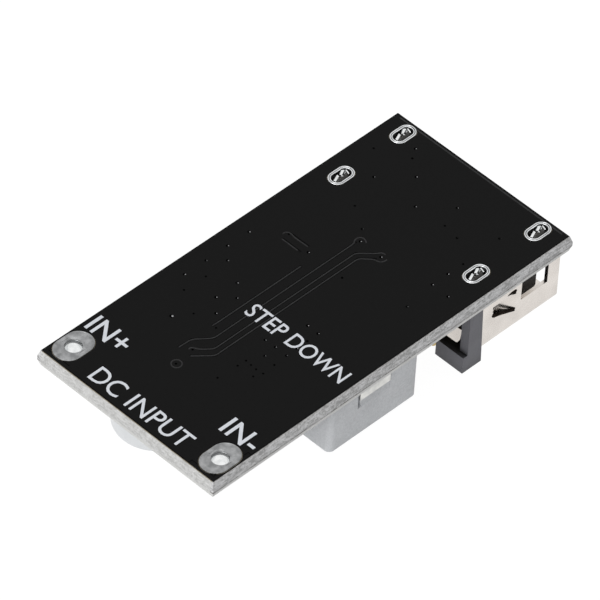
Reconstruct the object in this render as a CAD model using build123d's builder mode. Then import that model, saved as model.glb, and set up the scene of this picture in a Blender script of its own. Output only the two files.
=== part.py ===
from build123d import *
import os

os.makedirs("parts", exist_ok=True)

# A small step-down converter board that hangs its parts downwards, with the bare back of the board on top.
# Millimetres. +X runs from the input wires to the socket's mouth, +Y to the positive input, +Z up.
# The origin is at the middle of the outline, on the surface that the tallest part rests on.

# Board: laminate with scored and snapped edges, solder mask on both faces
board_thickness = 1.4
score_depth = 0.53
score_angle = 17.3
mask_base = 0.04
copper_step = 0.04
mask_edge_gap = 0.03
mask_window_gap = 0.05
copper_pullback = 0.35
pad_thickness = 0.06
barrel_wall = 0.08

# Input pads and their wire holes
pad_length = 3.2
pad_width = 2.2
pad_end_gap = 0.45
pad_side_gap = 0.32
wire_hole_radius = 0.65
wire_hole_wall = 0.17

# Output socket: folded sheet shell, insulator with its tongue, plug-on rear cap, four contacts
mouth_overhang = 1.2
socket_length = 10.1
shell_width = 13.14
shell_height = 5.9
shell_standoff = 0.85
shell_corner = 0.4
sheet = 0.3
shell_setback = 0.87
seam_gap = 0.08
flap_side_gap = 0.67
flap_gap = 1.2
flap_bend = 0.4
flap_corner = 0.5
side_window = 2.68
side_window_rise = 2.3
side_window_recess = 1.17
side_spring_length = 2.35
side_spring_recess = 4.4
side_spring_rear_height = 1.0
side_spring_front_height = 1.92
side_spring_drop = 2.4
side_spring_slit = 0.2
side_spring_bow = 0.42
side_spring_crease = 0.55
side_spring_flat = 0.6
broad_spring_length = 4.6
broad_spring_width = 1.7
broad_spring_slit = 0.3
broad_spring_recess = 1.3
broad_spring_dip = 0.4
broad_spring_y = 3.2
leg_width = 1.15
leg_twist = 24
leg_recess = 0.12
leg_front_recess = 2.7
leg_pitch = 6.17
slot_spacing = 13.14
slot_length = 1.75
slot_width = 0.95
slot_ring = 0.21
solder_depth = 0.9
solder_gap = 0.04
solder_corner = 0.28
tongue_side_gap = 1.02
tongue_thickness = 1.84
tongue_gap = 0.85
tongue_recess = 1.2
tongue_chamfer = 0.15
block_length = 1.6
fit_gap = 0.05
cap_wall = 0.5
cap_floor = 0.3
cap_front_lean = 0.3
cap_length = 1.9
cap_bar_depth = 0.8
cap_bar_height = 1.5
cap_post_setback = 0.43
cap_post_cover = 0.2
cap_notch_width = 9.0
contact_width = 1.0
contact_thickness = 0.25
contact_bend = 0.3
contact_outer_y = 3.5
contact_inner_y = 1.0
contact_outer_recess = 0.4
contact_inner_recess = 1.4
contact_tail_gap = 0.12
contact_foot = 1.1

# Moulded inductor
inductor_width = 8.6
inductor_length = 8.8
inductor_height = 5.2
inductor_side_gap = 0.92
inductor_radius = 0.45
inductor_edge_bevel = 0.2
terminal_width = 2.95
terminal_thickness = 0.2
terminal_rise = 1.75
terminal_reach = 2.3
terminal_ramp = 0.65
terminal_slit = 0.16
terminal_proud = 0.05

# Round capacitors: aluminium can on a square moulded base
can_radius = 3.15
can_height_input = 7.9
can_height_output = 5.4
can_edge_round = 0.4
can_bead_depth = 0.22
can_bead_width = 0.75
can_bead_height = 1.3
base_side = 6.6
base_thickness = 0.7
base_rim = 0.6
base_corner_cut = 1.2
can_side_gap = 0.65
can_end_gap = 0.8
can_fit = 0.04
can_lead_width = 0.65
can_lead_thickness = 0.2
can_lead_reach = 0.35
can_lead_length = 2.4
can_lead_proud = 0.05

# Controller chip and protocol chip, both with formed leads
chip_length = 4.9
chip_width = 3.9
chip_height = 1.45
chip_standoff = 0.1
chip_draft = 8
chip_span = 6.0
chip_pitch = 1.27
chip_lead_width = 0.42
chip_lead_thickness = 0.2
chip_lead_foot = 0.6
chip_slug_length = 3.3
chip_slug_width = 2.4
small_chip_length = 2.9
small_chip_width = 1.6
small_chip_height = 1.1
small_chip_span = 2.8
small_chip_pitch = 0.95
small_chip_lead_width = 0.4
small_chip_lead_thickness = 0.15
small_chip_lead_foot = 0.4
marker_radius = 0.3
marker_depth = 0.06

# Ceramic capacitors and resistors: length, width, height and the length of each tinned end
ceramic_size = (2.0, 1.25, 1.1)
ceramic_end = 0.42
bootstrap_size = (1.6, 0.8, 0.8)
bootstrap_end = 0.32
resistor_size = (1.6, 0.8, 0.45)
resistor_end = 0.3
end_overlap = 0.03

# Gaps between the parts along the board
small_chip_to_socket = 2.05
inductor_to_small_chip = 0.35
chip_to_inductor = 1.5
chip_y = -2.6
small_chip_y = 0.0
cans_gap = 2.65
can_to_inductor = 0.13
output_can_shift = 0.4
land_margin = 0.15

# Outlines of the copper under the mask, as lines between points from the input end and the centre line
groove_width = 0.2
groove_lines = [
    [(10.35, 2.1), (18.95, 2.1)],
    [(7.2, 2.2), (8.4, 2.15), (9.6, 1.2), (23.4, 1.2)],
    [(8.1, 1.15), (8.9, 0.45), (22.6, 0.45), (23.7, -0.6)],
    [(7.2, 1.1), (8.5, -0.05), (22.35, -0.05), (23.3, -0.95)],
    [(19.85, 3.1), (19.85, 4.9)],
    [(20.65, 3.1), (20.65, 4.9)],
]

# Levels that follow from the sizes above
component_side = can_height_input + pad_thickness
back_side = component_side + board_thickness
seat = component_side - pad_thickness
web_thickness = board_thickness - 2 * score_depth

# The board is as long and as wide as the rows of parts that it carries
input_end = pad_end_gap + pad_length + can_end_gap + base_side + cans_gap + base_side / 2 - output_can_shift
output_end = inductor_width / 2 + inductor_to_small_chip + small_chip_span + small_chip_to_socket
board_length = input_end + output_end + socket_length - mouth_overhang
board_width = inductor_side_gap + inductor_length + can_to_inductor + base_side + can_side_gap

# Places along the board
input_edge = -(board_length + mouth_overhang) / 2
output_edge = input_edge + board_length
board_x = (input_edge + output_edge) / 2
mouth = output_edge + mouth_overhang
socket_rear = mouth - socket_length
shell_rear = socket_rear + shell_setback
shell_length = mouth - shell_rear
small_chip_x = socket_rear - small_chip_to_socket - small_chip_span / 2
inductor_x = small_chip_x - small_chip_span / 2 - inductor_to_small_chip - inductor_width / 2
inductor_y = -board_width / 2 + inductor_side_gap + inductor_length / 2
chip_x = inductor_x - inductor_width / 2 - chip_to_inductor - chip_length / 2
pad_x = input_edge + pad_end_gap + pad_length / 2
pad_y = board_width / 2 - pad_side_gap - pad_width / 2
can_x = pad_x + pad_length / 2 + can_end_gap + base_side / 2
can_y = board_width / 2 - can_side_gap - base_side / 2
output_can_x = inductor_x + output_can_shift
pad_places = [(pad_x, pad_y), (pad_x, -pad_y)]
leg_front = mouth - leg_front_recess
leg_y = (shell_width - sheet) / 2
slot_y = slot_spacing / 2
slot_places = [(x, y) for x in (leg_front, leg_front - leg_pitch) for y in (slot_y, -slot_y)]
leg_places = [(x, y) for x in (leg_front, leg_front - leg_pitch) for y in (leg_y, -leg_y)]

# Small copper lands on the component side: x, y, size along X, size along Y
lands = []


def land(x, y, along, across):
    lands.append((x, y, along + 2 * land_margin, across + 2 * land_margin))


# Laminate board with its scored edges, wire holes and leg slots
with BuildPart() as circuit_board:
    with BuildSketch(Plane.XY.offset(component_side + score_depth)):
        with Locations((board_x, 0)):
            Rectangle(board_length, board_width)
    extrude(amount=web_thickness)
    for end in (-1, 0):
        extrude(circuit_board.faces().sort_by(Axis.Z)[end], amount=score_depth, taper=score_angle)
    with BuildSketch(Plane.XY.offset(component_side)):
        with Locations(*pad_places):
            Circle(wire_hole_radius + wire_hole_wall)
        with Locations(*slot_places):
            SlotOverall(slot_length + 2 * barrel_wall, slot_width + 2 * barrel_wall)
    extrude(amount=board_thickness, mode=Mode.SUBTRACT)
circuit_board.part.label = "circuit_board"
export_step(circuit_board.part, "parts/circuit_board.step")

face_inset = (board_length - circuit_board.faces().sort_by(Axis.Z)[-1].bounding_box().size.X) / 2
mask_length = board_length - 2 * (face_inset + mask_edge_gap)
mask_width = board_width - 2 * (face_inset + mask_edge_gap)

# Solder mask on the back: a base coat, raised where copper lies under it, with grooves round the tracks
with BuildPart() as solder_mask_back:
    with BuildSketch(Plane.XY.offset(back_side)):
        with Locations((board_x, 0)):
            Rectangle(mask_length, mask_width)
    extrude(amount=mask_base)
    with BuildSketch(Plane.XY.offset(back_side + mask_base)):
        with Locations((board_x, 0)):
            Rectangle(mask_length - 2 * copper_pullback, mask_width - 2 * copper_pullback)
    extrude(amount=copper_step)
    with BuildSketch(Plane.XY.offset(back_side + mask_base)):
        for points in groove_lines:
            with BuildLine():
                Polyline(*[(input_edge + x, y) for x, y in points])
            trace(line_width=groove_width)
    extrude(amount=copper_step, mode=Mode.SUBTRACT)
    with BuildSketch(Plane.XY.offset(back_side)):
        with Locations(*pad_places):
            SlotOverall(pad_length + 2 * mask_window_gap, pad_width + 2 * mask_window_gap)
        with Locations(*slot_places):
            SlotOverall(
                slot_length + 2 * (slot_ring + mask_window_gap),
                slot_width + 2 * (slot_ring + mask_window_gap),
            )
    extrude(amount=mask_base + copper_step, mode=Mode.SUBTRACT)
solder_mask_back.part.label = "solder_mask_back"
export_step(solder_mask_back.part, "parts/solder_mask_back.step")

# Tinned input pads: a stadium on each face, joined by the plated wall of the wire hole
for name, place in (("input_pad_positive", pad_places[0]), ("input_pad_negative", pad_places[1])):
    with BuildPart() as input_pad:
        for level in (back_side, component_side - pad_thickness):
            with BuildSketch(Plane.XY.offset(level)):
                with Locations(place):
                    SlotOverall(pad_length, pad_width)
            extrude(amount=pad_thickness)
        with BuildSketch(Plane.XY.offset(component_side)):
            with Locations(place):
                Circle(wire_hole_radius + wire_hole_wall)
        extrude(amount=board_thickness)
        with BuildSketch(Plane.XY.offset(seat)):
            with Locations(place):
                Circle(wire_hole_radius)
        extrude(amount=board_thickness + 2 * pad_thickness, mode=Mode.SUBTRACT)
    input_pad.part.label = name
    export_step(input_pad.part, "parts/" + name + ".step")

# Plated slots that take the legs of the socket shell, with a ring on the back
with BuildPart() as leg_slot_plating:
    with BuildSketch(Plane.XY.offset(back_side)):
        with Locations(*slot_places):
            SlotOverall(slot_length + 2 * slot_ring, slot_width + 2 * slot_ring)
    extrude(amount=pad_thickness)
    with BuildSketch(Plane.XY.offset(component_side)):
        with Locations(*slot_places):
            SlotOverall(slot_length + 2 * barrel_wall, slot_width + 2 * barrel_wall)
    extrude(amount=board_thickness)
    with BuildSketch(Plane.XY.offset(seat)):
        with Locations(*slot_places):
            SlotOverall(slot_length, slot_width)
    extrude(amount=board_thickness + 2 * pad_thickness, mode=Mode.SUBTRACT)
leg_slot_plating.part.label = "leg_slot_plating"
export_step(leg_slot_plating.part, "parts/leg_slot_plating.step")

# Levels of the socket, down from the board
shell_top = seat - shell_standoff
shell_bottom = shell_top - shell_height
shell_mid = (shell_top + shell_bottom) / 2
cap_bottom = shell_bottom - fit_gap - cap_floor
tongue_bottom = shell_bottom + sheet + tongue_gap
tongue_top = tongue_bottom + tongue_thickness
tongue_width = shell_width - 2 * tongue_side_gap
flap_half_width = shell_width / 2 - flap_side_gap

# One spring lanced out of the side wall, bowed inwards between two slits that spread towards the mouth
spring_front = mouth - side_spring_recess
spring_rear = spring_front - side_spring_length
spring_top = shell_top - side_spring_drop
bow_chord = shell_width / 2 - sheet / 2
with BuildPart() as side_spring:
    with BuildSketch(Plane.XY.offset(spring_top - side_spring_front_height)):
        with BuildLine():
            Polyline(
                (spring_rear - sheet, bow_chord),
                (spring_rear, bow_chord),
                (spring_rear + side_spring_crease, bow_chord - side_spring_bow),
                (spring_rear + side_spring_crease + side_spring_flat, bow_chord - side_spring_bow),
                (spring_front, bow_chord),
                (spring_front + sheet, bow_chord),
            )
        trace(line_width=sheet)
    extrude(amount=side_spring_front_height)
    with BuildSketch(Plane.XZ):
        with BuildLine():
            Polyline(
                (spring_rear - sheet, spring_top - side_spring_slit),
                (spring_front + sheet, spring_top - side_spring_slit),
                (spring_front + sheet, spring_top - side_spring_front_height + side_spring_slit),
                (spring_rear - sheet, spring_top - side_spring_rear_height + side_spring_slit),
                close=True,
            )
        make_face()
    extrude(amount=-shell_width, mode=Mode.INTERSECT)

# Socket shell: one sheet folded round the tongue, with a seam, a rear flap, windows, springs and four legs
with BuildPart() as socket_shell:
    with BuildSketch(Plane.YZ.offset(shell_rear)):
        with Locations((0, shell_mid)):
            RectangleRounded(shell_width, shell_height, shell_corner)
            RectangleRounded(
                shell_width - 2 * sheet,
                shell_height - 2 * sheet,
                shell_corner - sheet,
                mode=Mode.SUBTRACT,
            )
    extrude(amount=shell_length)
    # Cut for the rear flap in the wall towards the board, and for the contact tails in the far wall
    with BuildSketch(Plane.XY.offset(shell_top - sheet)):
        with Locations((shell_rear, 0)):
            Rectangle(2 * (sheet + flap_bend), 2 * flap_half_width + sheet)
    extrude(amount=sheet, mode=Mode.SUBTRACT)
    with BuildSketch(Plane.XY.offset(shell_bottom)):
        with Locations((shell_rear, 0)):
            Rectangle(2 * (block_length - sheet), cap_notch_width)
    extrude(amount=sheet, mode=Mode.SUBTRACT)
    # The flap closes the rear and ends in two round corners
    with BuildSketch(Plane.XZ):
        with BuildLine():
            FilletPolyline(
                (shell_rear + 2 * sheet + flap_bend, shell_top - sheet / 2),
                (shell_rear + sheet / 2, shell_top - sheet / 2),
                (shell_rear + sheet / 2, shell_bottom + flap_gap),
                radius=flap_bend,
            )
        trace(line_width=sheet)
    extrude(amount=flap_half_width, both=True)
    fillet(
        socket_shell.edges()
        .filter_by(Axis.X)
        .filter_by_position(Axis.Z, shell_bottom + flap_gap - sheet / 2, shell_bottom + flap_gap + sheet / 2)
        .group_by(Axis.X)[0],
        radius=flap_corner,
    )
    # The sheet's two ends meet in a seam on the board's side
    with BuildSketch(Plane.XY.offset(shell_top - sheet)):
        with Locations((mouth, 0)):
            Rectangle(2 * (shell_length - 4 * sheet), seam_gap)
    extrude(amount=sheet, mode=Mode.SUBTRACT)
    # A square window and a lanced spring in each side wall
    with BuildSketch(Plane.XZ):
        with Locations((mouth - side_window_recess, shell_bottom + side_window_rise)):
            Rectangle(side_window, side_window, align=(Align.MAX, Align.MIN))
        with BuildLine():
            Polyline(
                (spring_rear, spring_top),
                (spring_front, spring_top),
                (spring_front, spring_top - side_spring_front_height),
                (spring_rear, spring_top - side_spring_rear_height),
                close=True,
            )
        make_face()
    extrude(amount=shell_width, both=True, mode=Mode.SUBTRACT)
    add(side_spring.part)
    mirror(side_spring.part, about=Plane.XZ)
    # Two spring fingers in each broad wall, fixed at the rear and dipping towards the plug
    finger_front = mouth - broad_spring_recess
    finger_rear = finger_front - broad_spring_length
    for wall, inward in ((shell_top - sheet / 2, -1), (shell_bottom + sheet / 2, 1)):
        with BuildSketch(Plane.XY.offset(wall - sheet / 2)):
            with Locations(*[(finger_front, y) for y in (broad_spring_y, -broad_spring_y)]):
                Rectangle(
                    broad_spring_length,
                    broad_spring_width + 2 * broad_spring_slit,
                    align=(Align.MAX, Align.CENTER),
                )
        extrude(amount=sheet, mode=Mode.SUBTRACT)
        for y in (broad_spring_y, -broad_spring_y):
            with BuildSketch(Plane.XZ.offset(-y)):
                with BuildLine():
                    Polyline(
                        (finger_rear - sheet, wall),
                        (finger_rear + sheet, wall),
                        (finger_front - 4 * broad_spring_slit, wall + inward * broad_spring_dip),
                        (finger_front - broad_spring_slit, wall + inward * sheet / 2),
                    )
                trace(line_width=sheet)
            extrude(amount=broad_spring_width / 2, both=True)
    # Legs: straight to the board, then twisted and spread in their slots so that they hold before soldering
    for leg, slot in zip(leg_places, slot_places):
        with BuildSketch(Plane.XY.offset(shell_top - shell_corner)):
            with Locations(leg):
                Rectangle(leg_width, sheet)
        extrude(amount=component_side + sheet - (shell_top - shell_corner))
        with BuildSketch(Plane.XY.offset(component_side + sheet)):
            with Locations(leg):
                Rectangle(leg_width, sheet)
        with BuildSketch(Plane.XY.offset(back_side - leg_recess)):
            with Locations(slot):
                Rectangle(leg_width, sheet, rotation=leg_twist)
        loft()
socket_shell.part.label = "socket_shell"
export_step(socket_shell.part, "parts/socket_shell.step")

# Solder in the lower part of each slot, round the leg
with BuildPart() as leg_solder:
    with BuildSketch(Plane.XY.offset(component_side)):
        with Locations(*slot_places):
            Rectangle(slot_length - 2 * solder_gap, slot_width - 2 * solder_gap)
        chamfer(vertices(), length=solder_corner)
    extrude(amount=solder_depth)
    add(socket_shell.part, mode=Mode.SUBTRACT)
leg_solder.part.label = "leg_solder"
export_step(leg_solder.part, "parts/leg_solder.step")

# Contacts: along the tongue, through the block, out of the notch at the rear and up to a foot on the board
block_rear = shell_rear + sheet + fit_gap
block_front = block_rear + block_length
contact_level = tongue_top - contact_thickness / 2
riser = block_rear + contact_thickness
tail_level = cap_bottom + contact_tail_gap + contact_thickness / 2
tail_rear = socket_rear + contact_thickness
foot_end = socket_rear + contact_thickness - contact_foot
foot_level = seat - contact_thickness / 2
tongue_front = mouth - tongue_recess
contacts = []
for name, y, recess in (
    ("contact_power", contact_outer_y, contact_outer_recess),
    ("contact_data_minus", contact_inner_y, contact_inner_recess),
    ("contact_data_plus", -contact_inner_y, contact_inner_recess),
    ("contact_ground", -contact_outer_y, contact_outer_recess),
):
    with BuildPart() as contact:
        with BuildSketch(Plane.XZ.offset(-y)):
            with BuildLine():
                FilletPolyline(
                    (tongue_front - recess, contact_level),
                    (riser, contact_level),
                    (riser, tail_level),
                    (tail_rear, tail_level),
                    (tail_rear, foot_level),
                    (foot_end, foot_level),
                    radius=contact_bend,
                )
            trace(line_width=contact_thickness)
        extrude(amount=contact_width / 2, both=True)
    contact.part.label = name
    export_step(contact.part, "parts/" + name + ".step")
    contacts.append(contact.part)
    land((foot_end + tail_rear) / 2, y, contact_foot, contact_width)

# Insulator: a block that fills the shell's rear and carries the tongue, with the contacts moulded in
with BuildPart() as socket_insulator:
    with BuildSketch(Plane.YZ.offset(block_rear)):
        with Locations((0, shell_mid)):
            Rectangle(shell_width - 2 * (sheet + fit_gap), shell_height - 2 * (sheet + fit_gap))
    extrude(amount=block_length)
    with BuildSketch(Plane.YZ.offset(block_front)):
        with Locations((0, (tongue_top + tongue_bottom) / 2)):
            Rectangle(tongue_width, tongue_thickness)
    extrude(amount=tongue_front - block_front)
    chamfer(
        socket_insulator.faces().sort_by(Axis.X)[-1].edges().filter_by(Axis.Y),
        length=tongue_chamfer,
    )
    block_edges = socket_insulator.edges().filter_by_position(Axis.X, block_rear, block_front)
    chamfer(
        block_edges.filter_by(Axis.X).filter_by(lambda edge: abs(edge.center().Y) > tongue_width / 2 + sheet),
        length=shell_corner - sheet,
    )
    # The edge that lies inside the bend of the flap is bevelled with it
    rear_edges = socket_insulator.faces().sort_by(Axis.X)[0].edges()
    chamfer(rear_edges.filter_by(Axis.Y).sort_by(Axis.Z)[-1], length=flap_bend - sheet / 2)
    for piece in contacts:
        add(piece, mode=Mode.SUBTRACT)
socket_insulator.part.label = "socket_insulator"
export_step(socket_insulator.part, "parts/socket_insulator.step")

# Rear cap: a moulded saddle round the shell's end, with two posts and a notched bar behind it
cap_outer = shell_width / 2 + fit_gap + cap_wall
cap_post_rear = socket_rear + cap_post_setback
cap_front = socket_rear + cap_length
with BuildPart() as socket_rear_cap:
    with BuildSketch(Plane.YZ.offset(cap_post_rear)):
        with BuildLine():
            Polyline(
                (-cap_outer, seat),
                (-cap_outer, cap_bottom),
                (cap_outer, cap_bottom),
                (cap_outer, seat),
                close=True,
            )
        make_face()
    extrude(amount=cap_front - cap_post_rear)
    # The saddle is open towards the board, and the shell sits in it
    with BuildSketch(Plane.YZ.offset(shell_rear - fit_gap)):
        with Locations((0, seat)):
            Rectangle(
                shell_width + 2 * fit_gap,
                seat - shell_bottom + fit_gap,
                align=(Align.CENTER, Align.MAX),
            )
    extrude(amount=cap_front - shell_rear + fit_gap, mode=Mode.SUBTRACT)
    # The pocket between the posts, behind the flap
    with BuildSketch(Plane.YZ.offset(cap_post_rear)):
        with Locations((0, seat)):
            Rectangle(
                shell_width - 2 * cap_post_cover,
                seat - cap_bottom - cap_bar_height,
                align=(Align.CENTER, Align.MAX),
            )
    extrude(amount=cap_front - cap_post_rear, mode=Mode.SUBTRACT)
    # The bar behind the posts
    with BuildSketch(Plane.YZ.offset(socket_rear)):
        with Locations((0, cap_bottom)):
            Rectangle(2 * cap_outer, cap_bar_height, align=(Align.CENTER, Align.MIN))
    extrude(amount=cap_bar_depth - fit_gap)
    # The notch for the contact tails leaves a bridge at the front
    notch_depth = riser + contact_thickness / 2 + fit_gap - socket_rear
    with BuildSketch(Plane.XY.offset(cap_bottom)):
        with Locations((socket_rear, 0)):
            Rectangle(notch_depth, cap_notch_width, align=(Align.MIN, Align.CENTER))
    extrude(amount=cap_bar_height, mode=Mode.SUBTRACT)
    # Room for the rear legs in the posts
    with BuildSketch(Plane.XY.offset(shell_top - shell_corner)):
        with Locations((leg_front - leg_pitch, leg_y), (leg_front - leg_pitch, -leg_y)):
            Rectangle(leg_width + 2 * fit_gap, sheet + 2 * fit_gap)
    extrude(amount=seat - (shell_top - shell_corner), mode=Mode.SUBTRACT)
    # The posts lean back towards the board at the front
    with BuildSketch(Plane.XZ):
        with BuildLine():
            Polyline(
                (cap_front, cap_bottom),
                (cap_front - cap_front_lean, seat),
                (cap_front, seat),
                close=True,
            )
        make_face()
    extrude(amount=cap_outer, both=True, mode=Mode.SUBTRACT)
socket_rear_cap.part.label = "socket_rear_cap"
export_step(socket_rear_cap.part, "parts/socket_rear_cap.step")

# Inductor terminals: a strip down each end face and under the body
body_level = seat - terminal_proud
end_face = inductor_length / 2
with BuildPart() as inductor_terminals:
    for side in (1, -1):
        strip_y = inductor_y + side * (end_face - terminal_thickness / 2)
        with BuildSketch(Plane.YZ.offset(inductor_x)):
            with BuildLine():
                FilletPolyline(
                    (strip_y, seat - terminal_rise),
                    (strip_y, seat - terminal_thickness / 2),
                    (inductor_y + side * (end_face - terminal_reach), seat - terminal_thickness / 2),
                    radius=terminal_thickness,
                )
            trace(line_width=terminal_thickness)
        extrude(amount=terminal_width / 2, both=True)
        land(inductor_x, inductor_y + side * (end_face - terminal_reach / 2), terminal_width, terminal_reach)
inductor_terminals.part.label = "inductor_terminals"
export_step(inductor_terminals.part, "parts/inductor_terminals.step")

# Inductor body: pressed powder block with round corners, recessed for its terminals
with BuildPart() as inductor_body:
    with BuildSketch(Plane.XY.offset(seat - inductor_height)):
        with Locations((inductor_x, inductor_y)):
            RectangleRounded(inductor_width, inductor_length, inductor_radius)
    extrude(amount=inductor_height - terminal_proud)
    chamfer(inductor_body.faces().sort_by(Axis.Z)[0].edges(), length=inductor_edge_bevel)
    for side in (1, -1):
        face_y = inductor_y + side * end_face
        with BuildSketch(Plane.YZ.offset(inductor_x)):
            with BuildLine():
                Polyline(
                    (face_y, seat),
                    (face_y, seat - terminal_rise - terminal_ramp),
                    (face_y - side * (terminal_thickness + fit_gap), seat - terminal_rise),
                    (face_y - side * (terminal_thickness + fit_gap), seat - terminal_thickness - fit_gap),
                    (face_y - side * (terminal_reach + fit_gap), seat - terminal_thickness - fit_gap),
                    (face_y - side * (terminal_reach + fit_gap), seat),
                    close=True,
                )
            make_face()
        extrude(amount=terminal_width / 2 + fit_gap, both=True, mode=Mode.SUBTRACT)
        # A narrow slit beside the strip, where it leaves the powder
        with BuildSketch(Plane.XY.offset(seat - terminal_rise - terminal_ramp)):
            with Locations((inductor_x + side * (terminal_width / 2 + fit_gap), face_y)):
                Rectangle(2 * terminal_slit, 4 * terminal_thickness)
        extrude(amount=2 * terminal_ramp, mode=Mode.SUBTRACT)
inductor_body.part.label = "inductor_body"
export_step(inductor_body.part, "parts/inductor_body.step")

# Round capacitors: the can, its moulded base and its two flat leads
for name, x, height in (("input", can_x, can_height_input), ("output", output_can_x, can_height_output)):
    base_low = seat - can_lead_proud - base_thickness
    bead_level = base_low - can_bead_height
    with BuildPart() as can:
        with BuildSketch(Plane.XZ.offset(-can_y)):
            with BuildLine():
                Polyline(
                    (x, seat - height),
                    (x + can_radius - can_edge_round, seat - height),
                    (x + can_radius - can_edge_round / 3, seat - height + can_edge_round / 3),
                    (x + can_radius, seat - height + can_edge_round),
                    (x + can_radius, bead_level - can_bead_width / 2),
                    (x + can_radius - can_bead_depth, bead_level),
                    (x + can_radius, bead_level + can_bead_width / 2),
                    (x + can_radius, base_low),
                    (x, base_low),
                    close=True,
                )
            make_face()
        revolve(axis=Axis((x, can_y, 0), (0, 0, 1)))
    can.part.label = name + "_capacitor_can"
    export_step(can.part, "parts/" + name + "_capacitor_can.step")

    with BuildPart() as can_leads:
        for side in (1, -1):
            lead_x = x + side * (base_side / 2 + can_lead_reach - can_lead_length / 2)
            with BuildSketch(Plane.XY.offset(seat - can_lead_thickness)):
                with Locations((lead_x, can_y)):
                    Rectangle(can_lead_length, can_lead_width)
            extrude(amount=can_lead_thickness)
            land(lead_x, can_y, can_lead_length, can_lead_width)
    can_leads.part.label = name + "_capacitor_leads"
    export_step(can_leads.part, "parts/" + name + "_capacitor_leads.step")

    with BuildPart() as can_base:
        with BuildSketch(Plane.XY.offset(base_low - base_rim)):
            with Locations((x, can_y)):
                Rectangle(base_side, base_side)
        extrude(amount=base_rim + base_thickness)
        chamfer(can_base.edges().filter_by(Axis.Z).group_by(Axis.X)[-1], length=base_corner_cut)
        with BuildSketch(Plane.XY.offset(base_low - base_rim)):
            with Locations((x, can_y)):
                Circle(can_radius + can_fit)
        extrude(amount=base_rim, mode=Mode.SUBTRACT)
        add(can_leads.part, mode=Mode.SUBTRACT)
    can_base.part.label = name + "_capacitor_base"
    export_step(can_base.part, "parts/" + name + "_capacitor_base.step")


# A formed lead: out of the body's side, down a slope and along the board
def lead_line(centre, side, body, span, foot, level, foot_level):
    shoulder = (span - body) / 2 - foot
    return [
        (centre + side * body / 2, level),
        (centre + side * (body / 2 + shoulder / 3), level),
        (centre + side * (span / 2 - foot), foot_level),
        (centre + side * span / 2, foot_level),
    ]


# Controller chip: moulded body with drafted sides, eight leads and a heat slug
chip_low = seat - chip_standoff - chip_height
chip_level = seat - chip_standoff - chip_height / 2
chip_foot_level = seat - chip_lead_thickness / 2
chip_lead_places = [chip_x + (i - 1.5) * chip_pitch for i in range(4)]
with BuildPart() as controller_chip_body:
    with BuildSketch(Plane.XY.offset(chip_level - chip_lead_thickness / 2)):
        with Locations((chip_x, chip_y)):
            Rectangle(chip_length, chip_width)
    extrude(amount=chip_lead_thickness)
    for end in (-1, 0):
        face = controller_chip_body.faces().sort_by(Axis.Z)[end]
        extrude(face, amount=(chip_height - chip_lead_thickness) / 2, taper=chip_draft)
    with BuildSketch(Plane.XY.offset(chip_low)):
        with Locations((chip_x - chip_length / 3, chip_y + chip_width / 4)):
            Circle(marker_radius)
    extrude(amount=marker_depth, mode=Mode.SUBTRACT)
controller_chip_body.part.label = "controller_chip_body"
export_step(controller_chip_body.part, "parts/controller_chip_body.step")

with BuildPart() as controller_chip_leads:
    for x in chip_lead_places:
        for side in (1, -1):
            with BuildSketch(Plane.YZ.offset(x)):
                with BuildLine():
                    Polyline(
                        *lead_line(
                            chip_y, side, chip_width, chip_span, chip_lead_foot, chip_level, chip_foot_level
                        )
                    )
                trace(line_width=chip_lead_thickness)
            extrude(amount=chip_lead_width / 2, both=True)
            land(x, chip_y + side * (chip_span - chip_lead_foot) / 2, chip_lead_width, chip_lead_foot)
    with BuildSketch(Plane.XY.offset(seat - chip_standoff)):
        with Locations((chip_x, chip_y)):
            Rectangle(chip_slug_length, chip_slug_width)
    extrude(amount=chip_standoff)
    land(chip_x, chip_y, chip_slug_length, chip_slug_width)
controller_chip_leads.part.label = "controller_chip_leads"
export_step(controller_chip_leads.part, "parts/controller_chip_leads.step")

# Protocol chip: the same form, smaller, with three leads on each side
small_chip_level = seat - chip_standoff - small_chip_height / 2
small_chip_foot_level = seat - small_chip_lead_thickness / 2
with BuildPart() as protocol_chip_body:
    with BuildSketch(Plane.XY.offset(small_chip_level - small_chip_lead_thickness / 2)):
        with Locations((small_chip_x, small_chip_y)):
            Rectangle(small_chip_width, small_chip_length)
    extrude(amount=small_chip_lead_thickness)
    for end in (-1, 0):
        face = protocol_chip_body.faces().sort_by(Axis.Z)[end]
        extrude(face, amount=(small_chip_height - small_chip_lead_thickness) / 2, taper=chip_draft)
protocol_chip_body.part.label = "protocol_chip_body"
export_step(protocol_chip_body.part, "parts/protocol_chip_body.step")

with BuildPart() as protocol_chip_leads:
    for y in [small_chip_y + i * small_chip_pitch for i in (-1, 0, 1)]:
        for side in (1, -1):
            with BuildSketch(Plane.XZ.offset(-y)):
                with BuildLine():
                    Polyline(
                        *lead_line(
                            small_chip_x,
                            side,
                            small_chip_width,
                            small_chip_span,
                            small_chip_lead_foot,
                            small_chip_level,
                            small_chip_foot_level,
                        )
                    )
                trace(line_width=small_chip_lead_thickness)
            extrude(amount=small_chip_lead_width / 2, both=True)
            land(
                small_chip_x + side * (small_chip_span - small_chip_lead_foot) / 2,
                y,
                small_chip_lead_foot,
                small_chip_lead_width,
            )
protocol_chip_leads.part.label = "protocol_chip_leads"
export_step(protocol_chip_leads.part, "parts/protocol_chip_leads.step")


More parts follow.
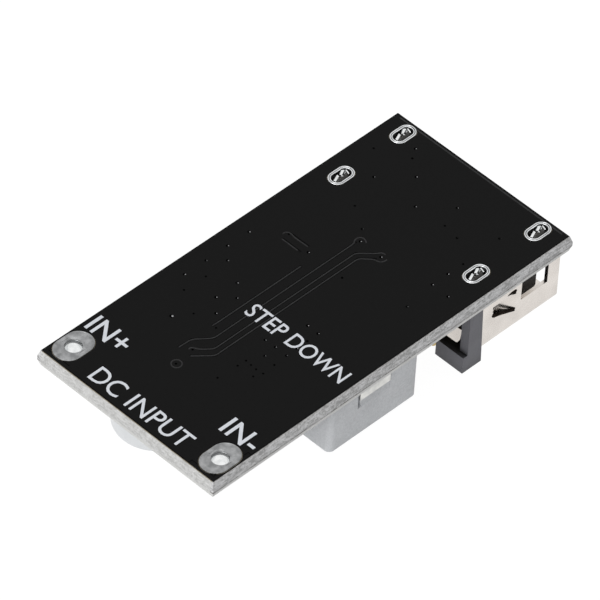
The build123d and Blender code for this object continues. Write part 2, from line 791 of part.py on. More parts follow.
# A ceramic capacitor or resistor: a bare body between two tinned ends that wrap it
def two_ended(name, x, y, size, end, turned):
    length, width, height = size
    with BuildPart() as body:
        with BuildSketch(Plane.XY.offset(seat - end_overlap)):
            with Locations((x, y)):
                Rectangle(length - 2 * end, width - 2 * end_overlap, rotation=90 if turned else 0)
        extrude(amount=-(height - 2 * end_overlap))
    body.part.label = name + "_body"
    export_step(body.part, "parts/" + name + "_body.step")
    with BuildPart() as ends:
        for side in (1, -1):
            offset_from_middle = side * (length - end) / 2
            end_x = x + (0 if turned else offset_from_middle)
            end_y = y + (offset_from_middle if turned else 0)
            with BuildSketch(Plane.XY.offset(seat)):
                with Locations((end_x, end_y)):
                    Rectangle(end, width, rotation=90 if turned else 0)
            extrude(amount=-height)
            land(end_x, end_y, width if turned else end, end if turned else width)
    ends.part.label = name + "_ends"
    export_step(ends.part, "parts/" + name + "_ends.step")


input_filter_x = chip_x - chip_length / 2 - 2 * land_margin - ceramic_size[1] / 2
bootstrap_x = (chip_x + chip_length / 2 + inductor_x - inductor_width / 2) / 2
feedback_y = chip_y - chip_span / 2 - 3 * land_margin - resistor_size[1] / 2
bypass_y = small_chip_y + small_chip_length / 2 + 3 * land_margin + bootstrap_size[1] / 2
first_filter_y = bypass_y + bootstrap_size[1] / 2 + 3 * land_margin + ceramic_size[1] / 2
second_filter_y = first_filter_y + ceramic_size[1] + 3 * land_margin
signal_y = small_chip_y - small_chip_length / 2 - 4 * land_margin - resistor_size[1] / 2
two_ended("filter_capacitor_1", input_filter_x, chip_y, ceramic_size, ceramic_end, True)
two_ended("filter_capacitor_2", small_chip_x, first_filter_y, ceramic_size, ceramic_end, False)
two_ended("filter_capacitor_3", small_chip_x, second_filter_y, ceramic_size, ceramic_end, False)
two_ended("bypass_capacitor_1", bootstrap_x, chip_y, bootstrap_size, bootstrap_end, True)
two_ended("bypass_capacitor_2", small_chip_x, bypass_y, bootstrap_size, bootstrap_end, False)
for index, place in enumerate(
    (
        (chip_x - resistor_size[0] * 2 / 3, feedback_y),
        (chip_x + resistor_size[0] * 2 / 3, feedback_y),
        (small_chip_x, signal_y),
        (small_chip_x, signal_y - resistor_size[1] - 4 * land_margin),
    )
):
    two_ended("resistor_" + str(index + 1), *place, resistor_size, resistor_end, False)

# Tinned lands on the component side, one under each foot, lead and end
with BuildPart() as component_lands:
    with BuildSketch(Plane.XY.offset(seat)):
        for x, y, along, across in lands:
            with Locations((x, y)):
                Rectangle(along, across)
    extrude(amount=pad_thickness)
component_lands.part.label = "component_lands"
export_step(component_lands.part, "parts/component_lands.step")

# Solder mask on the component side, open at every land, pad and slot
with BuildPart() as solder_mask_front:
    with BuildSketch(Plane.XY.offset(component_side - mask_base)):
        with Locations((board_x, 0)):
            Rectangle(mask_length, mask_width)
        for x, y, along, across in lands:
            with Locations((x, y)):
                Rectangle(along + 2 * mask_window_gap, across + 2 * mask_window_gap, mode=Mode.SUBTRACT)
        with Locations(*pad_places):
            SlotOverall(
                pad_length + 2 * mask_window_gap,
                pad_width + 2 * mask_window_gap,
                mode=Mode.SUBTRACT,
            )
        with Locations(*slot_places):
            Rectangle(
                slot_length + 2 * (barrel_wall + mask_window_gap),
                slot_width + 2 * (barrel_wall + mask_window_gap),
                mode=Mode.SUBTRACT,
            )
    extrude(amount=mask_base)
solder_mask_front.part.label = "solder_mask_front"
export_step(solder_mask_front.part, "parts/solder_mask_front.step")
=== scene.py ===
import math

import bmesh
import bpy
from mathutils import Matrix, Quaternion, Vector


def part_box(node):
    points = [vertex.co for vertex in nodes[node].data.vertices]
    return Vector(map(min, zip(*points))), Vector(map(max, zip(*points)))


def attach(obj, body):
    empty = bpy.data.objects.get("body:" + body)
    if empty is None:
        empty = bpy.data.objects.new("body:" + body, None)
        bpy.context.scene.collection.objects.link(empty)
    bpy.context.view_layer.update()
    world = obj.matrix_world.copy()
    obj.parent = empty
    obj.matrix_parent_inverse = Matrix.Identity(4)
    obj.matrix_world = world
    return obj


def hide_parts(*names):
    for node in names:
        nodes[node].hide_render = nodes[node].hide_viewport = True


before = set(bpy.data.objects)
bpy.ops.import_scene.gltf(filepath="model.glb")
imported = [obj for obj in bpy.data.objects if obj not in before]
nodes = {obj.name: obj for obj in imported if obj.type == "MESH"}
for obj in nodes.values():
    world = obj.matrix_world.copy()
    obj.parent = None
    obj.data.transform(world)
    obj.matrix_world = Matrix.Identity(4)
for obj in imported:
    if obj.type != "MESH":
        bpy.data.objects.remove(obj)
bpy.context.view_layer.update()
mm = 0.001
print("packed board loaded,", len(nodes), "nodes")

boardLow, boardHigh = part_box("circuit_board")
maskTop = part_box("solder_mask_back")[1].z / mm
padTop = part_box("input_pad_positive")[1].z / mm
inputEdge = boardLow.x / mm


# sRGB hex to the linear colour that the nodes expect
def linearColour(hexText):
    values = []
    for start in (1, 3, 5):
        level = int(hexText[start:start + 2], 16) / 255
        values.append(level / 12.92 if level <= 0.04045 else ((level + 0.055) / 1.055) ** 2.4)
    return (*values, 1)


# adds one node with its settings and its incoming links
def addNode(tree, kind, settings=None, links=None):
    node = tree.nodes.new(kind)
    for key, value in (settings or {}).items():
        if isinstance(key, int) or key in node.inputs:
            node.inputs[key].default_value = value
        else:
            setattr(node, key, value)
    for key, socket in (links or {}).items():
        tree.links.new(socket, node.inputs[key])
    return node


# starts a material with one shader and hands back its tree, its shader and its place in metres
def startMaterial(name, settings):
    material = bpy.data.materials.new(name)
    material.use_nodes = True
    tree = material.node_tree
    tree.nodes.clear()
    shader = addNode(tree, "ShaderNodeBsdfPrincipled", settings)
    addNode(tree, "ShaderNodeOutputMaterial", None, {"Surface": shader.outputs["BSDF"]})
    place = addNode(tree, "ShaderNodeTexCoord").outputs["Object"]
    return material, tree, shader, place


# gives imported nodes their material
def dress(material, *names):
    for name in names:
        mesh = nodes[name].data
        mesh.materials.clear()
        mesh.materials.append(material)


# turns a finished form, built in millimetres, into a piece that rides on the board
def addPiece(name, form, material, smooth=True):
    mesh = bpy.data.meshes.new(name)
    bmesh.ops.scale(form, vec=(mm, mm, mm), verts=form.verts)
    bmesh.ops.recalc_face_normals(form, faces=form.faces)
    form.to_mesh(mesh)
    form.free()
    for polygon in mesh.polygons:
        polygon.use_smooth = smooth
    mesh.materials.append(material)
    piece = bpy.data.objects.new(name, mesh)
    bpy.context.scene.collection.objects.link(piece)
    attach(piece, "root")
    return piece


# solder mask: screen-printed epoxy ink, cured to a satin skin that shows the glass cloth below it
def makeSolderMask():
    look = {"ink": "#0c0c0c", "inkThin": "#101010", "weave": 0.45, "peel": 0.25}
    material, tree, shader, place = startMaterial("satinBlackSolderMask", {
        "Roughness": 0.36, "Specular IOR Level": 0.06})
    peel = addNode(tree, "ShaderNodeTexNoise", {
        "Scale": 1 / (look["peel"] * mm), "Detail": 3.0, "Roughness": 0.5}, {"Vector": place})
    weave = addNode(tree, "ShaderNodeTexWave", {
        "wave_type": "BANDS", "bands_direction": "DIAGONAL", "Scale": 0.5 / (look["weave"] * mm),
        "Distortion": 1.2, "Detail": 1.0}, {"Vector": place})
    colour = addNode(tree, "ShaderNodeMix", {
        "data_type": "RGBA", 6: linearColour(look["ink"]), 7: linearColour(look["inkThin"])},
        {0: peel.outputs["Fac"]})
    height = addNode(tree, "ShaderNodeMath", {"operation": "MULTIPLY_ADD", 1: 0.25},
                     {0: weave.outputs["Fac"], 2: peel.outputs["Fac"]})
    bump = addNode(tree, "ShaderNodeBump", {"Strength": 0.25, "Distance": 0.004 * mm},
                   {"Height": height.outputs[0]})
    tree.links.new(colour.outputs[2], shader.inputs["Base Color"])
    tree.links.new(bump.outputs["Normal"], shader.inputs["Normal"])
    return material


# glass-fibre laminate: cloth in resin, scored on both faces and snapped, so its edges look torn and fibrous
def makeLaminate():
    look = {
        "resin": "#a0a0a0", "glass": "#d8d8d9", "pale": "#ebebe9", "darkMark": "#55524c", "char": "#857a63",
        "shortEnd": "#c6c6c3", "evened": 0.45, "layer": 0.13, "strand": 0.55, "grain": 0.15, "blotch": 0.9,
        # millimetres up from the underside
        "lineUp": 0.6, "lineHalf": 0.06, "lineWander": 0.12, "underLightFrom": 0.58, "underLightTo": 0.3,
        # millimetres in from the long sides and down from the top
        "sideSkin": 0.3, "charFrom": 0.07, "charTo": 0.01}
    material, tree, shader, place = startMaterial("snappedGlassFibreLaminate", {
        "Roughness": 0.75, "Specular IOR Level": 0.25})
    stretch = addNode(tree, "ShaderNodeMapping", {
        "Scale": (1 / (look["strand"] * mm), 1 / (look["strand"] * mm), 1 / (look["layer"] * mm))},
        {"Vector": place})
    layers = addNode(tree, "ShaderNodeTexNoise", {"Scale": 1.0, "Detail": 3.0, "Roughness": 0.6},
                     {"Vector": stretch.outputs["Vector"]})
    grain = addNode(tree, "ShaderNodeTexNoise", {
        "Scale": 1 / (look["grain"] * mm), "Detail": 2.0, "Roughness": 0.6}, {"Vector": place})
    blotch = addNode(tree, "ShaderNodeTexNoise", {
        "Scale": 1 / (look["blotch"] * mm), "Detail": 2.0, "Roughness": 0.5}, {"Vector": place})
    halves = addNode(tree, "ShaderNodeMath", {"operation": "MULTIPLY_ADD", 1: 0.4},
                     {0: blotch.outputs["Fac"], 2: layers.outputs["Fac"]})
    mixed = addNode(tree, "ShaderNodeMath", {"operation": "MULTIPLY_ADD", 1: 1.0},
                    {0: grain.outputs["Fac"], 2: halves.outputs[0]})
    share = addNode(tree, "ShaderNodeMapRange", {"From Min": 1.03, "From Max": 1.36},
                    {"Value": mixed.outputs[0]})
    colour = addNode(tree, "ShaderNodeMix", {
        "data_type": "RGBA", 6: linearColour(look["resin"]), 7: linearColour(look["glass"])},
        {0: share.outputs["Result"]})
    # a broken dark line along the long sides, low on the edge
    parts = addNode(tree, "ShaderNodeSeparateXYZ", None, {"Vector": place})
    wander = addNode(tree, "ShaderNodeMath", {"operation": "MULTIPLY_ADD", 1: look["lineWander"] * mm},
                     {0: blotch.outputs["Fac"], 2: parts.outputs["Z"]})
    onLine = addNode(tree, "ShaderNodeMath", {
        "operation": "COMPARE", 1: boardLow.z + look["lineUp"] * mm, 2: look["lineHalf"] * mm},
        {0: wander.outputs[0]})
    side = addNode(tree, "ShaderNodeMath", {"operation": "ABSOLUTE"}, {0: parts.outputs["Y"]})
    onSide = addNode(tree, "ShaderNodeMath", {
        "operation": "GREATER_THAN", 1: boardHigh.y - look["sideSkin"] * mm}, {0: side.outputs[0]})
    broken = addNode(tree, "ShaderNodeMapRange", {"From Min": 0.44, "From Max": 0.56},
                     {"Value": layers.outputs["Fac"]})
    lineShare = addNode(tree, "ShaderNodeMath", {"operation": "MULTIPLY"},
                        {0: onLine.outputs[0], 1: onSide.outputs[0]})
    darkLineShare = addNode(tree, "ShaderNodeMath", {"operation": "MULTIPLY"},
                        {0: lineShare.outputs[0], 1: broken.outputs["Result"]})
    darkMark = addNode(tree, "ShaderNodeMix", {"data_type": "RGBA", 7: linearColour(look["darkMark"])},
                   {0: darkLineShare.outputs[0], 6: colour.outputs[2]})
    # painted light: the lower bevel is painted paler, for the light it catches from the floor below
    underLightShare = addNode(tree, "ShaderNodeMapRange", {
        "From Min": boardLow.z + look["underLightFrom"] * mm, "From Max": boardLow.z + look["underLightTo"] * mm,
        "To Max": 0.65}, {"Value": parts.outputs["Z"]})
    underLit = addNode(tree, "ShaderNodeMix", {"data_type": "RGBA", 7: linearColour(look["pale"])},
                    {0: underLightShare.outputs["Result"], 6: darkMark.outputs[2]})
    # specks of loose fibre and resin dust
    dustAndShade = addNode(tree, "ShaderNodeMapRange", {"From Min": 0.6, "From Max": 0.7, "To Max": 0.4},
                   {"Value": grain.outputs["Fac"]})
    dusty = addNode(tree, "ShaderNodeMix", {"data_type": "RGBA", 7: linearColour(look["darkMark"])},
                    {0: dustAndShade.outputs["Result"], 6: underLit.outputs[2]})
    # the short ends broke cleaner, so their cloth is smoother and evenly pale
    endShare = addNode(tree, "ShaderNodeMath", {
        "operation": "MULTIPLY_ADD", 1: -look["evened"], 2: look["evened"]}, {0: onSide.outputs[0]})
    evened = addNode(tree, "ShaderNodeMix", {"data_type": "RGBA", 7: linearColour(look["shortEnd"])},
                     {0: endShare.outputs[0], 6: dusty.outputs[2]})
    # a brown line where the score cut through the mask, strongest on the short ends
    nearTop = addNode(tree, "ShaderNodeMapRange", {
        "From Min": boardHigh.z - look["charFrom"] * mm, "From Max": boardHigh.z - look["charTo"] * mm,
        "To Max": 0.85}, {"Value": parts.outputs["Z"]})
    atEnd = addNode(tree, "ShaderNodeMath", {"operation": "MULTIPLY_ADD", 1: -0.8, 2: 1.0},
                    {0: onSide.outputs[0]})
    charShare = addNode(tree, "ShaderNodeMath", {"operation": "MULTIPLY"},
                        {0: nearTop.outputs["Result"], 1: atEnd.outputs[0]})
    charred = addNode(tree, "ShaderNodeMix", {"data_type": "RGBA", 7: linearColour(look["char"])},
                      {0: charShare.outputs[0], 6: evened.outputs[2]})
    rough = addNode(tree, "ShaderNodeMath", {"operation": "MULTIPLY_ADD", 1: 0.6},
                    {0: grain.outputs["Fac"], 2: layers.outputs["Fac"]})
    bump = addNode(tree, "ShaderNodeBump", {"Strength": 0.6, "Distance": 0.03 * mm},
                   {"Height": rough.outputs[0]})
    tree.links.new(charred.outputs[2], shader.inputs["Base Color"])
    tree.links.new(bump.outputs["Normal"], shader.inputs["Normal"])
    return material


# painted shade: the colour darkens where a surface is boxed in, most of all on an upward ledge, for the
# shade that falls there; alone leaves the neighbours out
def paintShadeInHollows(tree, reach, colour, alone):
    look = {"dustAndShade": "#14120f", "closed": 0.3, "ledge": 0.3, "open": 0.9}
    openness = addNode(tree, "ShaderNodeAmbientOcclusion", {
        "samples": 8, "only_local": alone, "Distance": reach * mm})
    facing = addNode(tree, "ShaderNodeNewGeometry")
    parts = addNode(tree, "ShaderNodeSeparateXYZ", None, {"Vector": facing.outputs["Normal"]})
    ledge = addNode(tree, "ShaderNodeMath", {"operation": "MAXIMUM", 1: 0.0}, {0: parts.outputs["Z"]})
    least = addNode(tree, "ShaderNodeMath", {
        "operation": "MULTIPLY_ADD", 1: look["ledge"], 2: look["closed"]}, {0: ledge.outputs[0]})
    share = addNode(tree, "ShaderNodeMapRange", {"From Max": look["open"]},
                    {"Value": openness.outputs["AO"], "From Min": least.outputs[0]})
    return addNode(tree, "ShaderNodeMix", {"data_type": "RGBA", 6: linearColour(look["dustAndShade"])},
                   {0: share.outputs["Result"], 7: colour.outputs[2]})


# a metal: its colour drifts between two shades, and its roughness and bump follow one fine grain
def makeMetal(name, look):
    material, tree, shader, place = startMaterial(name, {"Metallic": 1.0})
    stretch = addNode(tree, "ShaderNodeMapping", {"Scale": look.get("stretch", (1, 1, 1))},
                      {"Vector": place})
    grain = addNode(tree, "ShaderNodeTexNoise", {
        "Scale": 1 / (look["grain"] * mm), "Detail": 4.0, "Roughness": 0.6},
        {"Vector": stretch.outputs["Vector"]})
    cloud = addNode(tree, "ShaderNodeTexNoise", {
        "Scale": 1 / (look["cloud"] * mm), "Detail": 2.0}, {"Vector": place})
    share = addNode(tree, "ShaderNodeMapRange", {"From Min": 0.35, "From Max": 0.65},
                    {"Value": cloud.outputs["Fac"]})
    colour = addNode(tree, "ShaderNodeMix", {
        "data_type": "RGBA", 6: linearColour(look["dark"]), 7: linearColour(look["light"])},
        {0: share.outputs["Result"]})
    rough = addNode(tree, "ShaderNodeMapRange", {
        "From Min": 0.3, "From Max": 0.7, "To Min": look["rough"] - look["spread"],
        "To Max": look["rough"] + look["spread"]}, {"Value": grain.outputs["Fac"]})
    bump = addNode(tree, "ShaderNodeBump", {"Strength": 0.5, "Distance": look["bump"] * mm},
                   {"Height": grain.outputs["Fac"]})
    if "hollow" in look:
        colour = paintShadeInHollows(tree, look["hollow"], colour, True)
    tree.links.new(colour.outputs[2], shader.inputs["Base Color"])
    tree.links.new(rough.outputs["Result"], shader.inputs["Roughness"])
    tree.links.new(bump.outputs["Normal"], shader.inputs["Normal"])
    return material


# a moulded, pressed or fired body: two shades in a fine grain, with a light bump
def makeMoulded(name, look):
    material, tree, shader, place = startMaterial(name, {
        "Roughness": look["rough"], "Specular IOR Level": look.get("gloss", 0.5)})
    grain = addNode(tree, "ShaderNodeTexNoise", {
        "Scale": 1 / (look["grain"] * mm), "Detail": 5.0, "Roughness": 0.65}, {"Vector": place})
    cloud = addNode(tree, "ShaderNodeTexNoise", {
        "Scale": 1 / (look["cloud"] * mm), "Detail": 2.0}, {"Vector": place})
    mixed = addNode(tree, "ShaderNodeMath", {"operation": "MULTIPLY_ADD", 1: 0.5},
                    {0: cloud.outputs["Fac"], 2: grain.outputs["Fac"]})
    share = addNode(tree, "ShaderNodeMapRange", {"From Min": 0.55, "From Max": 0.95},
                    {"Value": mixed.outputs[0]})
    colour = addNode(tree, "ShaderNodeMix", {
        "data_type": "RGBA", 6: linearColour(look["dark"]), 7: linearColour(look["light"])},
        {0: share.outputs["Result"]})
    bump = addNode(tree, "ShaderNodeBump", {"Strength": 0.5, "Distance": look["bump"] * mm},
                   {"Height": grain.outputs["Fac"]})
    if "hollow" in look:
        colour = paintShadeInHollows(tree, look["hollow"], colour, False)
    tree.links.new(colour.outputs[2], shader.inputs["Base Color"])
    tree.links.new(bump.outputs["Normal"], shader.inputs["Normal"])
    return material


solderMask = makeSolderMask()
laminate = makeLaminate()
# mask stretched thin over a copper edge, painted a shade lighter: partly the thinner ink, partly a painted
# highlight along the edge
thinMaskSheen = makeMoulded("thinSolderMaskSheen", {
    "dark": "#101011", "light": "#262627", "rough": 0.45,
    "grain": 0.3, "cloud": 0.9, "bump": 0.002, "gloss": 0.22})
# hot-air levelled tin on the pads: dull grey, a little uneven
padTin = makeMetal("levelledPadTin", {
    "dark": "#828384", "light": "#a4a5a6", "rough": 0.38, "spread": 0.08,
    "grain": 0.12, "cloud": 0.5, "bump": 0.01})
# the same tin on the slots' rims, where it stays thick and bright
brightTin = makeMetal("brightRimTin", {
    "dark": "#c6c8c9", "light": "#e4e5e6", "rough": 0.25, "spread": 0.06,
    "grain": 0.1, "cloud": 0.5, "bump": 0.006})
# tin on the flat of the slots' rings, coloured darker than the pads' tin
ringTin = makeMetal("darkRingTin", {
    "dark": "#5e5f60", "light": "#7c7d7e", "rough": 0.4, "spread": 0.08,
    "grain": 0.1, "cloud": 0.4, "bump": 0.006})
# tin in the wire holes and on the twisted legs: wet-looking, nearly a mirror
sleeveTin = makeMetal("mirrorSleeveTin", {
    "dark": "#dcdede", "light": "#f0f1f1", "rough": 0.14, "spread": 0.04,
    "grain": 0.2, "cloud": 0.4, "bump": 0.01})
# nickel over steel sheet, rolled and stamped: warm, satin, nearly even, with painted shade darkening it in
# its slits and hollows
nickelSheet = makeMetal("satinNickelSheet", {
    "dark": "#d0cac4", "light": "#dcd6d0", "rough": 0.26, "spread": 0.02,
    "grain": 0.12, "cloud": 2.2, "bump": 0.0012,
    "stretch": (0.25, 1, 1), "hollow": 0.4})
# gold flash over spring alloy: pale, warm and satin
goldFlash = makeMetal("goldFlashContact", {
    "dark": "#a58c55", "light": "#bfa870", "rough": 0.3, "spread": 0.05,
    "grain": 0.06, "cloud": 0.7, "bump": 0.002})
# matt tin plate on leads and ceramic ends: pale and soft, without a clear reflection
mattTin = makeMetal("mattTinPlate", {
    "dark": "#c4c4c2", "light": "#dcdcd8", "rough": 0.42, "spread": 0.08,
    "grain": 0.05, "cloud": 0.5, "bump": 0.004})
# solder: bright where it wets the metal
solder = makeMetal("brightSolder", {
    "dark": "#a5a7a9", "light": "#c6c8ca", "rough": 0.2, "spread": 0.06,
    "grain": 0.2, "cloud": 0.6, "bump": 0.01})
# painted shade: mask sunk into a via, painted near black for the shade in its dip, and dull
viaShadeMask = makeMoulded("paintedViaShade", {
    "dark": "#010101", "light": "#040404", "rough": 0.8,
    "grain": 0.1, "cloud": 0.4, "bump": 0.002, "gloss": 0.0})
# burnt flux left in the slots: dark amber, glassy
fluxResidue = makeMoulded("burntFluxResidue", {
    "dark": "#0b0a07", "light": "#1b1810", "rough": 0.25,
    "grain": 0.1, "cloud": 0.4, "bump": 0.01})
# drawn aluminium can with a clear film: smooth, soft mirror
canAluminium = makeMetal("drawnCanAluminium", {
    "dark": "#d8dadc", "light": "#dee0e2", "rough": 0.3, "spread": 0.02,
    "grain": 0.08, "cloud": 2.5, "bump": 0.0006,
    "stretch": (1, 1, 0.2)})
# glass-filled socket plastic, moulded with a fine spark texture, with painted shade darkening it in its
# pockets, most of all on ledges
socketPlastic = makeMoulded("mouldedGreyPlastic", {
    "dark": "#5c5c62", "light": "#6b6b71", "rough": 0.5,
    "grain": 0.06, "cloud": 1.2, "bump": 0.004, "gloss": 0.4, "hollow": 2.6})
# painted shade: a dark sheet for the shade inside the socket, as seen through the slits of its side springs
paintedSocketShade = makeMoulded("paintedShadeSheet", {
    "dark": "#0d0a08", "light": "#3a322d", "rough": 0.9,
    "grain": 0.25, "cloud": 0.9, "bump": 0.002, "gloss": 0.0})
# pressed iron powder with a thin grey coat, so it is speckled and slightly sandy
powderCoat = makeMoulded("pressedIronPowder", {
    "dark": "#bfc1c4", "light": "#d6d8db", "rough": 0.6,
    "grain": 0.14, "cloud": 2.2, "bump": 0.015})
# black epoxy moulding compound with a fine matt finish
epoxyMould = makeMoulded("mattEpoxyMoulding", {
    "dark": "#1a1a1c", "light": "#26262a", "rough": 0.6,
    "grain": 0.05, "cloud": 0.8, "bump": 0.006})
# high-temperature plastic of the cans' bases: black with a low sheen
basePlastic = makeMoulded("blackBasePlastic", {
    "dark": "#121213", "light": "#1d1d1f", "rough": 0.5,
    "grain": 0.08, "cloud": 1.0, "bump": 0.004})
# fired barium titanate: tan, dense, nearly smooth
firedCeramic = makeMoulded("firedTanCeramic", {
    "dark": "#7d6449", "light": "#94795b", "rough": 0.55,
    "grain": 0.05, "cloud": 0.6, "bump": 0.003})
# glazed black resistor film, glossy as the ink of the cans' half-moons
resistorGlaze = makeMoulded("blackResistorGlaze", {
    "dark": "#101013", "light": "#1a1a1e", "rough": 0.3,
    "grain": 0.05, "cloud": 0.5, "bump": 0.002})
# white legend ink, printed thick enough to stand up
legendInk = makeMoulded("whiteLegendInk", {
    "dark": "#dde1e9", "light": "#eef1f6", "rough": 0.7,
    "grain": 0.05, "cloud": 0.4, "bump": 0.004, "gloss": 0.3})
print("materials made")

dress(solderMask, "solder_mask_back", "solder_mask_front")
dress(laminate, "circuit_board")
dress(padTin, "input_pad_positive", "input_pad_negative", "component_lands")
dress(ringTin, "leg_slot_plating")
dress(solder, "leg_solder")
dress(nickelSheet, "socket_shell")
dress(goldFlash, "contact_power", "contact_data_minus", "contact_data_plus", "contact_ground")
dress(socketPlastic, "socket_insulator", "socket_rear_cap")
dress(powderCoat, "inductor_body")
dress(mattTin, "inductor_terminals", *[name for name in nodes if name.endswith(("_ends", "_leads"))])
dress(canAluminium, "input_capacitor_can", "output_capacitor_can")
dress(basePlastic, "input_capacitor_base", "output_capacitor_base")
dress(epoxyMould, "controller_chip_body", "protocol_chip_body")
dress(firedCeramic, *[name for name in nodes if "_capacitor_" in name and name.endswith("_body")])
dress(resistorGlaze, *[name for name in nodes if name.startswith("resistor") and name.endswith("_body")])
print("packed nodes dressed")


# lettering: plain marks in the places that the board keeps for them, read from the near side
def addLettering():
    marks = {
        "markPositive": {
            "text": "IN+", "start": (3.8, 7.97), "height": 1.65, "width": 3.4, "weight": 0.014},
        "markNegative": {
            "text": "IN-", "start": (3.8, -5.13), "height": 1.65, "width": 2.93, "weight": 0.014},
        "markInput": {
            "text": "DC INPUT", "start": (0.65, 4.38), "height": 1.53, "width": 9.14, "weight": 0.004},
        "markType": {
            "text": "STEP DOWN", "start": (12.78, 1.59), "height": 1.38, "width": 9.2, "weight": 0.008},
    }
    inkHeight = 0.012
    for name, mark in marks.items():
        curve = bpy.data.curves.new(name, "FONT")
        curve.body = mark["text"]
        curve.offset = mark["weight"] / mark["height"]
        curve.extrude = 0.5
        curve.resolution_u = 4
        letters = bpy.data.objects.new(name + "Curve", curve)
        bpy.context.scene.collection.objects.link(letters)
        bpy.context.view_layer.update()
        mesh = bpy.data.meshes.new_from_object(letters)
        bpy.data.objects.remove(letters)
        xs = [vertex.co.x for vertex in mesh.vertices]
        ys = [vertex.co.y for vertex in mesh.vertices]
        wide = mark["width"] / (max(xs) - min(xs))
        tall = mark["height"] / (max(ys) - min(ys))
        turn = Matrix.Rotation(-math.pi / 2, 4, "Z")
        corner = (inputEdge + mark["start"][0], mark["start"][1], maskTop + inkHeight / 2)
        mesh.transform(Matrix.Translation(corner) @ turn @ Matrix.Diagonal((wide, tall, inkHeight, 1))
                       @ Matrix.Translation((-min(xs), -min(ys), 0)))
        form = bmesh.new()
        form.from_mesh(mesh)
        bmesh.ops.remove_doubles(form, verts=form.verts, dist=0.0001)
        bpy.data.meshes.remove(mesh)
        addPiece(name, form, legendInk, smooth=False)


addLettering()
print("lettering printed")


# draws a rounded bead along a path: one small ring, drawn from point to point and tapered at open ends
def drawBead(form, path, width, height, closed=False):
    bead = {"taper": 0.3, "sides": 8}
    if not closed:
        first, second, last, other = (Vector(path[index]) for index in (0, 1, -1, -2))
        path = [first, first + (second - first).normalized() * width, *path[1:-1],
                last + (other - last).normalized() * width, last]
    stations = []
    count = len(path)
    for index, point in enumerate(path):
        before = path[index - 1] if closed or index else point
        after = path[(index + 1) % count] if closed or index < count - 1 else point
        run = Vector(after) - Vector(before)
        size = bead["taper"] if not closed and index in (0, count - 1) else 1.0
        stations.append(Matrix.Translation(point) @ Matrix.Rotation(math.atan2(run.y, run.x), 4, "Z")
                        @ Matrix.Diagonal((1, size * width / 2, size * height / 2, 1))
                        @ Matrix.Rotation(math.pi / 2, 4, "Y"))
    made = bmesh.ops.create_circle(form, cap_ends=not closed, segments=bead["sides"], radius=1.0,
                                   matrix=stations[0])
    verts = set(made["verts"])
    opening = list({edge for vert in verts for edge in vert.link_edges if edge.other_vert(vert) in verts})
    ring = opening
    for before, after in zip(stations, stations[1:]):
        grown = bmesh.ops.extrude_edge_only(form, edges=ring)["geom"]
        verts = {item for item in grown if isinstance(item, bmesh.types.BMVert)}
        ring = [item for item in grown if isinstance(item, bmesh.types.BMEdge) and set(item.verts) <= verts]
        bmesh.ops.transform(form, matrix=after @ before.inverted(), verts=list(verts))
    if closed:
        bmesh.ops.bridge_loops(form, edges=ring + opening)
    else:
        bmesh.ops.holes_fill(form, edges=ring)


# points of a stadium round a centre, or of a circle when the length equals the width
def stadiumPath(centre, length, width, level, count=36):
    points = []
    for index in range(count):
        angle = (index + 0.5) * 2 * math.pi / count
        shift = math.copysign((length - width) / 2, math.cos(angle))
        points.append((centre[0] + shift + width / 2 * math.cos(angle),
                       centre[1] + width / 2 * math.sin(angle), level))
    return points


# rounds the corners of a path on the mask
def softPath(points, reach, level):
    soft = [(*points[0], level)]
    for before, corner, after in zip(points, points[1:], points[2:]):
        here = Vector(corner)
        start = here + (Vector(before) - here).normalized() * min(reach, (Vector(before) - here).length / 2)
        end = here + (Vector(after) - here).normalized() * min(reach, (Vector(after) - here).length / 2)
        for share in (0.0, 0.33, 0.67, 1.0):
            spot = start.lerp(here, share).lerp(here.lerp(end, share), share)
            soft.append((spot.x, spot.y, level))
    soft.append((*points[-1], level))
    return soft


# skins a set of loops of equal count, from the outside inwards
def skinLoops(form, paths):
    rings = []
    for path in paths:
        made = bmesh.ops.create_circle(form, segments=len(path), radius=1.0)["verts"]
        for vert, point in zip(made, path):
            vert.co = point
        rings.append(list({edge for vert in made for edge in vert.link_edges}))
    for outer, inner in zip(rings, rings[1:]):
        bmesh.ops.bridge_loops(form, edges=outer + inner)


# a block with its edges taken off, from a unit cube
def addBevelledBlock(form, pose, bevel):
    made = bmesh.ops.create_cube(form, size=1.0, matrix=pose)["verts"]
    edges = list({edge for vert in made for edge in vert.link_edges})
    bmesh.ops.bevel(form, geom=edges, offset=bevel, offset_type="OFFSET", segments=2, profile=0.5,
                    affect="EDGES", material=-1)


